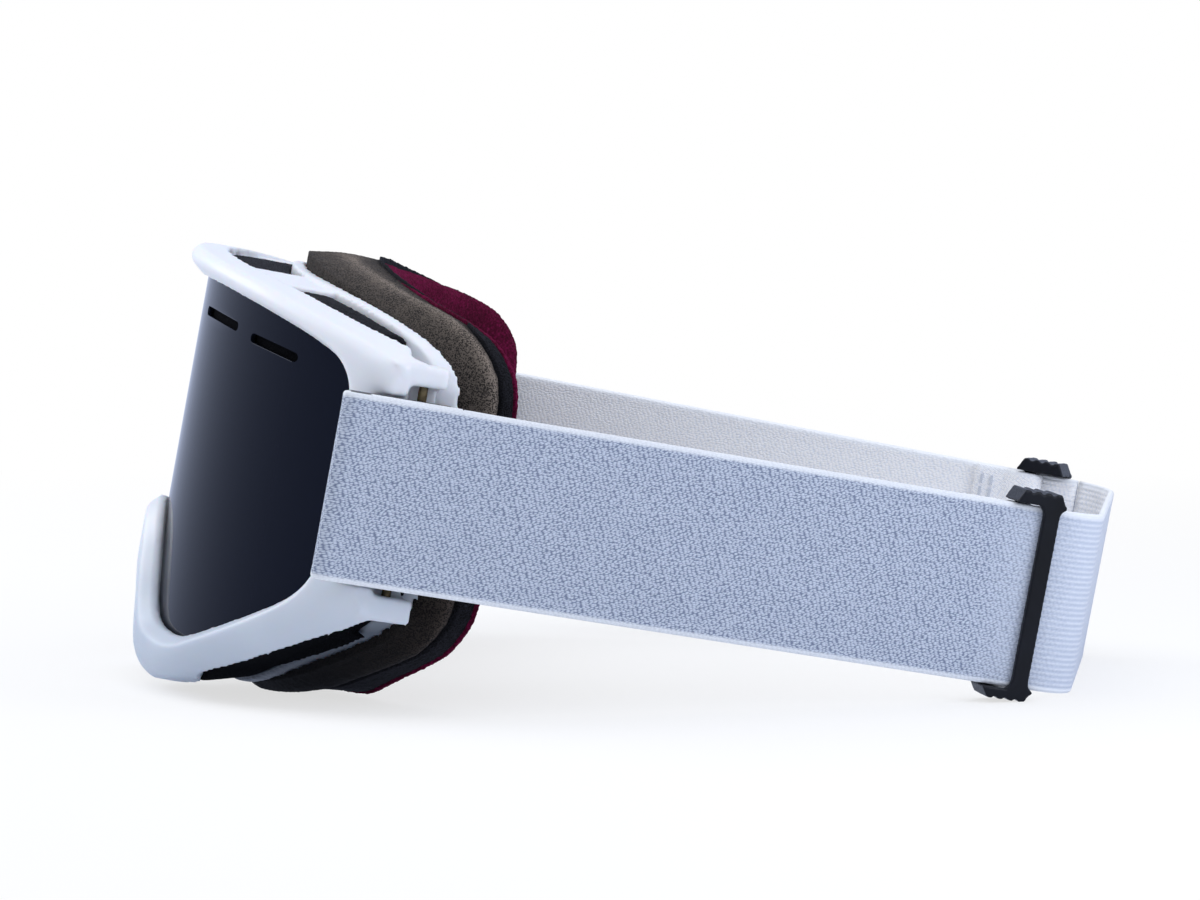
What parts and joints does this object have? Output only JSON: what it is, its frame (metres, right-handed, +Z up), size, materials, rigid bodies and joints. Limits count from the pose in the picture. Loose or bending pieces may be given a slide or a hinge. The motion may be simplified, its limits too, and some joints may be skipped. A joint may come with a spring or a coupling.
{
  "type": "snowboard goggles",
  "caption": "Snowboard goggles with a cylindrical smoke double lens, white vented frame, three-layer face foam and a wide elastic strap on pivoting clips with sliders.",
  "frame": {"origin": "centre of the bounding box's bottom face, on the table that the goggles stand on", "axes": "+Z up, -Y the way the lens faces, +X the wearer's left"},
  "size_m": [0.1851, 0.2265, 0.0978],
  "materials": {
    "frame_tpu": "satin moulded soft polyurethane, slightly translucent",
    "smoke_lens": "dark smoke polycarbonate, polished",
    "clear_lens": "clear anti-fog sheet",
    "black_foam": "open-cell foam",
    "brown_foam": "open-cell foam, brown grey",
    "fleece": "burgundy micro fleece",
    "pin_metal": "drawn wire pin",
    "strap_elastic": "knitted white elastic",
    "black_plastic": "moulded acetal",
    "thread": "polyester bar tack"
  },
  "bodies": {
    "goggles": {"front_frame": "frame_tpu", "rear_frame": "frame_tpu", "lens_outer": "smoke_lens", "lens_inner": "clear_lens", "lens_gasket": "black_foam", "lens_vent_foam": "black_foam", "vent_foam_top": "black_foam", "vent_foam_bottom": "black_foam", "face_foam_firm": "brown_foam", "face_foam_soft": "black_foam", "fleece_lining": "fleece", "clip_pin_left": "pin_metal", "clip_pin_right": "pin_metal", "strap_outer_left": "strap_elastic", "strap_outer_right": "strap_elastic", "strap_rear": "strap_elastic"},
    "clip_left": {"strap_clip_left": "black_plastic", "strap_fold_left": "strap_elastic"},
    "clip_right": {"strap_clip_right": "black_plastic", "strap_fold_right": "strap_elastic"},
    "slider_left": {"slider_left": "black_plastic", "strap_inner_left": "strap_elastic", "strap_stitches_left": "thread"},
    "slider_right": {"slider_right": "black_plastic", "strap_inner_right": "strap_elastic", "strap_stitches_right": "thread"}
  },
  "joints": [
    {"name": "clip_hinge_left", "type": "hinge", "parent": "goggles", "child": "clip_left", "pos_m": [0.08034, -0.04998, 0.04767], "axis": [0, 0.1822, 0.9833], "range_deg": [-3.5, 3.5]},
    {"name": "clip_hinge_right", "type": "hinge", "parent": "goggles", "child": "clip_right", "pos_m": [-0.07885, -0.04998, 0.04767], "axis": [0, 0.1822, 0.9833], "range_deg": [-3.5, 3.5]},
    {"name": "slider_slide_left", "type": "slide", "parent": "goggles", "child": "slider_left", "axis": [0.2377, -0.9551, 0.177], "range_m": [0, 0.1], "deforming": ["strap_inner_left"]},
    {"name": "slider_slide_right", "type": "slide", "parent": "goggles", "child": "slider_right", "axis": [-0.3502, -0.9231, 0.1587], "range_m": [0, 0.1], "deforming": ["strap_inner_right"]}
  ]
}
